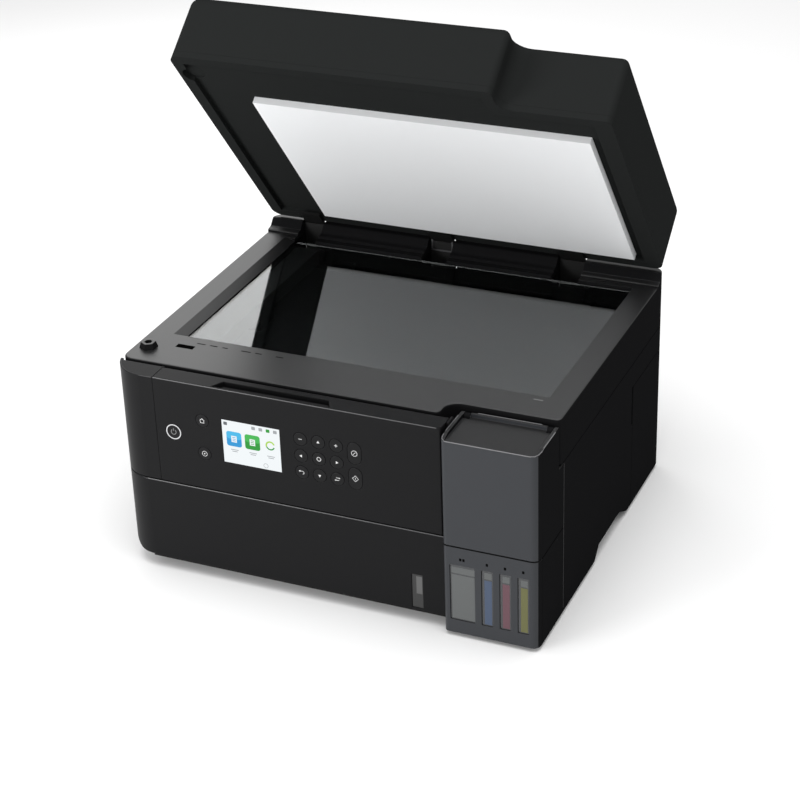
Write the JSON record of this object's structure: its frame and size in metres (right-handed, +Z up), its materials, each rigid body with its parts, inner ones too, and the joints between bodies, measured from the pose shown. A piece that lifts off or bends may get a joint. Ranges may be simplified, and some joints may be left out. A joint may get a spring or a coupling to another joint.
{
  "type": "inkjet printer",
  "caption": "Desktop ink-tank inkjet printer with a flatbed scanner, a thick document-feeder lid standing open, a tilting control panel and a front paper cassette.",
  "frame": {"origin": "on the floor, under the middle of the printer's outline with its lid open at rest", "axes": "+X to the right seen from the front, +Y to the back, +Z up"},
  "size_m": [0.39, 0.3754, 0.4557],
  "materials": {
    "black_case": "satin",
    "inner_plastic": "matt",
    "key_plastic": "satin",
    "rubber": "matt",
    "steel": "satin",
    "screen": "gloss",
    "board": "satin",
    "tank_grey": "satin",
    "clear_tank": "clear",
    "glass": "gloss",
    "mat": "matt",
    "head_metal": "satin",
    "ink_black": "satin",
    "ink_cyan": "satin",
    "ink_magenta": "satin",
    "ink_yellow": "satin"
  },
  "bodies": {
    "base": {"base_pan": "inner_plastic", "rubber_feet": "rubber", "left_side_cover": "black_case", "right_side_cover": "black_case", "rear_cover": "black_case", "upper_case": "black_case", "case_screws": "steel", "chassis_frame": "steel", "drive_belt": "rubber", "drive_motors": "steel", "platen": "inner_plastic", "maintenance_station": "inner_plastic", "main_board": "board", "power_supply": "inner_plastic", "tank_front": "tank_grey", "tank_housing": "black_case", "ink_tank": "clear_tank"},
    "panel": {"control_panel": "black_case", "lcd_display": "screen", "panel_board": "board"},
    "tank_cover": {"tank_cover": "black_case"},
    "cassette": {"cassette_front": "black_case", "paper_cassette": "inner_plastic", "level_window": "clear_tank"},
    "scanner": {"scanner_housing": "black_case", "scanner_bezel": "black_case", "scan_glass": "glass"},
    "scan_head": {"scan_head": "inner_plastic"},
    "lid": {"lid_inner": "black_case", "document_mat": "mat", "lid_shell": "black_case", "lid_hinges": "inner_plastic"},
    "feeder_cover": {"feeder_cover": "black_case"},
    "feeder_tray": {"feeder_tray": "black_case"},
    "carriage": {"carriage": "inner_plastic", "print_head": "head_metal"},
    "motor_pulley": {"motor_pulley": "inner_plastic"},
    "idler_pulley": {"idler_pulley": "inner_plastic"},
    "feed_roller": {"feed_roller": "steel"},
    "feed_pinion": {"feed_pinion": "inner_plastic"},
    "exit_roller": {"exit_roller": "inner_plastic"},
    "pickup_roller": {"pickup_roller": "rubber"},
    "home_key": {"home_key": "key_plastic"},
    "help_key": {"help_key": "key_plastic"},
    "power_key": {"power_key": "key_plastic"},
    "minus_key": {"minus_key": "key_plastic"},
    "up_key": {"up_key": "key_plastic"},
    "plus_key": {"plus_key": "key_plastic"},
    "left_key": {"left_key": "key_plastic"},
    "ok_key": {"ok_key": "key_plastic"},
    "right_key": {"right_key": "key_plastic"},
    "back_key": {"back_key": "key_plastic"},
    "down_key": {"down_key": "key_plastic"},
    "swap_key": {"swap_key": "key_plastic"},
    "copy_key": {"copy_key": "key_plastic"},
    "start_key": {"start_key": "key_plastic"},
    "cap_black": {"cap_black": "ink_black"},
    "cap_cyan": {"cap_cyan": "ink_cyan"},
    "cap_magenta": {"cap_magenta": "ink_magenta"},
    "cap_yellow": {"cap_yellow": "ink_yellow"}
  },
  "joints": [
    {"name": "panel_tilt", "type": "hinge", "parent": "base", "child": "panel", "pos_m": [0, -0.16373, 0.1869], "axis": [-1, 0, 0], "range_deg": [0, 40]},
    {"name": "home_key_press", "type": "slide", "parent": "panel", "child": "home_key", "axis": [0, 1, 0], "range_m": [0, 0.0008], "stiffness_N_per_m": 500},
    {"name": "help_key_press", "type": "slide", "parent": "panel", "child": "help_key", "axis": [0, 1, 0], "range_m": [0, 0.0008], "stiffness_N_per_m": 500},
    {"name": "power_key_press", "type": "slide", "parent": "panel", "child": "power_key", "axis": [0, 1, 0], "range_m": [0, 0.0008], "stiffness_N_per_m": 500},
    {"name": "minus_key_press", "type": "slide", "parent": "panel", "child": "minus_key", "axis": [0, 1, 0], "range_m": [0, 0.0008], "stiffness_N_per_m": 500},
    {"name": "up_key_press", "type": "slide", "parent": "panel", "child": "up_key", "axis": [0, 1, 0], "range_m": [0, 0.0008], "stiffness_N_per_m": 500},
    {"name": "plus_key_press", "type": "slide", "parent": "panel", "child": "plus_key", "axis": [0, 1, 0], "range_m": [0, 0.0008], "stiffness_N_per_m": 500},
    {"name": "left_key_press", "type": "slide", "parent": "panel", "child": "left_key", "axis": [0, 1, 0], "range_m": [0, 0.0008], "stiffness_N_per_m": 500},
    {"name": "ok_key_press", "type": "slide", "parent": "panel", "child": "ok_key", "axis": [0, 1, 0], "range_m": [0, 0.0008], "stiffness_N_per_m": 500},
    {"name": "right_key_press", "type": "slide", "parent": "panel", "child": "right_key", "axis": [0, 1, 0], "range_m": [0, 0.0008], "stiffness_N_per_m": 500},
    {"name": "back_key_press", "type": "slide", "parent": "panel", "child": "back_key", "axis": [0, 1, 0], "range_m": [0, 0.0008], "stiffness_N_per_m": 500},
    {"name": "down_key_press", "type": "slide", "parent": "panel", "child": "down_key", "axis": [0, 1, 0], "range_m": [0, 0.0008], "stiffness_N_per_m": 500},
    {"name": "swap_key_press", "type": "slide", "parent": "panel", "child": "swap_key", "axis": [0, 1, 0], "range_m": [0, 0.0008], "stiffness_N_per_m": 500},
    {"name": "copy_key_press", "type": "slide", "parent": "panel", "child": "copy_key", "axis": [0, 1, 0], "range_m": [0, 0.0008], "stiffness_N_per_m": 500},
    {"name": "start_key_press", "type": "slide", "parent": "panel", "child": "start_key", "axis": [0, 1, 0], "range_m": [0, 0.0008], "stiffness_N_per_m": 500},
    {"name": "tank_cover_lift", "type": "hinge", "parent": "base", "child": "tank_cover", "pos_m": [0, -0.14272, 0.1842], "axis": [-1, 0, 0], "range_deg": [0, 60]},
    {"name": "cap_black_flip", "type": "hinge", "parent": "base", "child": "cap_black", "pos_m": [0.12875, -0.15473, 0.1213], "axis": [-1, 0, 0], "range_deg": [0, 100]},
    {"name": "cap_cyan_flip", "type": "hinge", "parent": "base", "child": "cap_cyan", "pos_m": [0.1505, -0.15473, 0.1213], "axis": [-1, 0, 0], "range_deg": [0, 100]},
    {"name": "cap_magenta_flip", "type": "hinge", "parent": "base", "child": "cap_magenta", "pos_m": [0.16615, -0.15473, 0.1213], "axis": [-1, 0, 0], "range_deg": [0, 100]},
    {"name": "cap_yellow_flip", "type": "hinge", "parent": "base", "child": "cap_yellow", "pos_m": [0.1818, -0.15473, 0.1213], "axis": [-1, 0, 0], "range_deg": [0, 100]},
    {"name": "cassette_slide", "type": "slide", "parent": "base", "child": "cassette", "axis": [0, -1, 0], "range_m": [0, 0.2]},
    {"name": "scanner_lift", "type": "hinge", "parent": "base", "child": "scanner", "pos_m": [0, 0.14278, 0.15245], "axis": [-1, 0, 0], "range_deg": [0, 25]},
    {"name": "scan_head_travel", "type": "slide", "parent": "scanner", "child": "scan_head", "axis": [1, 0, 0], "range_m": [0, 0.3]},
    {"name": "lid_swing", "type": "hinge", "parent": "scanner", "child": "lid", "pos_m": [0, 0.14342, 0.1735], "axis": [-1, 0, 0], "range_deg": [-50.65, 25]},
    {"name": "feeder_cover_flip", "type": "hinge", "parent": "lid", "child": "feeder_cover", "pos_m": [-0.1812, 0.10904, 0.34019], "axis": [0, -0.6341, 0.7733], "range_deg": [0, 80]},
    {"name": "feeder_tray_flip", "type": "hinge", "parent": "lid", "child": "feeder_tray", "pos_m": [-0.02175, 0.10904, 0.34019], "axis": [0, -0.6341, 0.7733], "range_deg": [0, 100]},
    {"name": "carriage_travel", "type": "slide", "parent": "base", "child": "carriage", "axis": [-1, 0, 0], "range_m": [0, 0.26]},
    {"name": "motor_pulley_spin", "type": "hinge", "parent": "base", "child": "motor_pulley", "pos_m": [0.168, 0.02678, 0.122], "axis": [0, -1, 0], "range_deg": [-10, 2099]},
    {"name": "idler_pulley_spin", "type": "hinge", "parent": "base", "child": "idler_pulley", "pos_m": [-0.168, 0.02678, 0.122], "axis": [0, -1, 0], "range_deg": [-10, 2099]},
    {"name": "feed_roller_spin", "type": "hinge", "parent": "base", "child": "feed_roller", "pos_m": [0, 0.01578, 0.092], "axis": [1, 0, 0], "continuous": true},
    {"name": "feed_pinion_spin", "type": "hinge", "parent": "base", "child": "feed_pinion", "pos_m": [-0.183, 0.01124, 0.0663], "axis": [1, 0, 0], "continuous": true},
    {"name": "exit_roller_spin", "type": "hinge", "parent": "base", "child": "exit_roller", "pos_m": [0, -0.05022, 0.092], "axis": [1, 0, 0], "continuous": true},
    {"name": "pickup_roller_spin", "type": "hinge", "parent": "base", "child": "pickup_roller", "pos_m": [0, 0.06477, 0.076], "axis": [1, 0, 0], "continuous": true}
  ],
  "couplings": [
    {"joint": "motor_pulley_spin", "follows": "carriage_travel", "rad_per_m": 138.89},
    {"joint": "idler_pulley_spin", "follows": "carriage_travel", "rad_per_m": 138.89},
    {"joint": "feed_pinion_spin", "follows": "feed_roller_spin", "ratio": -3.3333},
    {"joint": "exit_roller_spin", "follows": "feed_roller_spin", "ratio": 1.1667}
  ]
}
